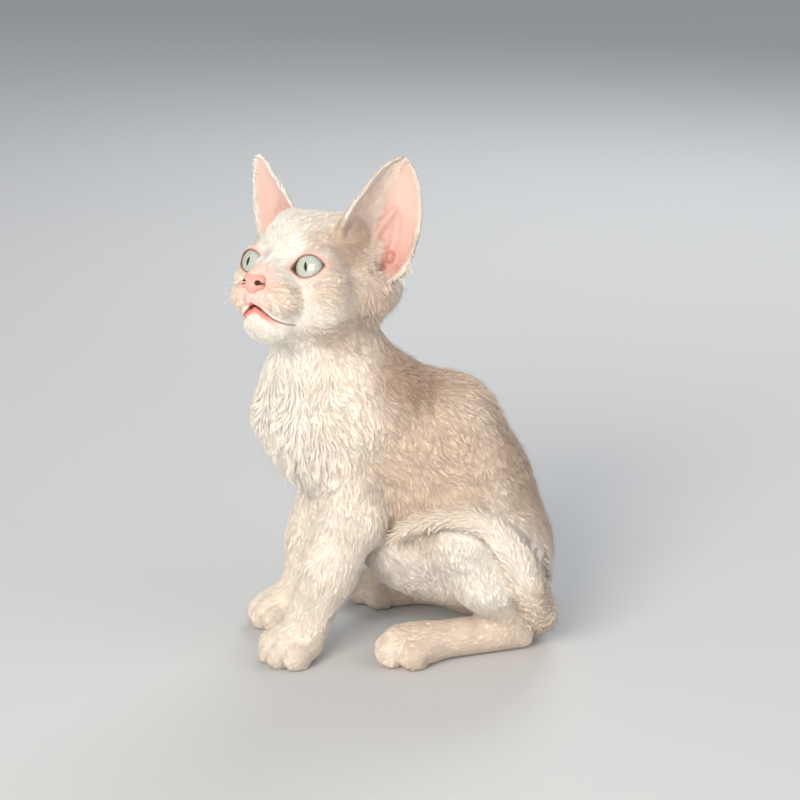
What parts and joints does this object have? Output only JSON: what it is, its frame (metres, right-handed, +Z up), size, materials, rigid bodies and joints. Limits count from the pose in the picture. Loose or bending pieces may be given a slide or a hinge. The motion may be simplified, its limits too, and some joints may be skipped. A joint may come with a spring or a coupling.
{
  "type": "devon rex kitten",
  "caption": "Still, life-size model of a sitting cream kitten with very large ears, its head turned and raised and its tail laid over the near hind leg.",
  "frame": {"origin": "middle of the whole kitten's box, on the floor", "axes": "+X to the rump and tail, -X to the front paws, +Y to the kitten's right, +Z up"},
  "size_m": [0.1408, 0.1056, 0.2157],
  "materials": {
    "coat": "short soft curly fur, cream, tan on the back and outer ears",
    "ear": "thin bare pink skin inside, thin tan fur outside",
    "nose": "moist pink leather",
    "eye": "wet, clear cornea over a pale blue-green iris"
  },
  "bodies": {
    "root": {"skull": "coat", "face": "coat", "lower_jaw": "coat", "nose": "nose", "eye_left": "eye", "eye_right": "eye", "ear_left": "ear", "ear_right": "ear", "neck": "coat", "chest": "coat", "abdomen": "coat", "rump": "coat", "upper_arm_left": "coat", "upper_arm_right": "coat", "forearm_left": "coat", "forearm_right": "coat", "front_paw_left": "coat", "front_paw_right": "coat", "thigh_left": "coat", "thigh_right": "coat", "shin_left": "coat", "shin_right": "coat", "hind_foot_left": "coat", "hind_foot_right": "coat", "tail_root": "coat", "tail_middle": "coat", "tail_tip": "coat"}
  },
  "joints": []
}
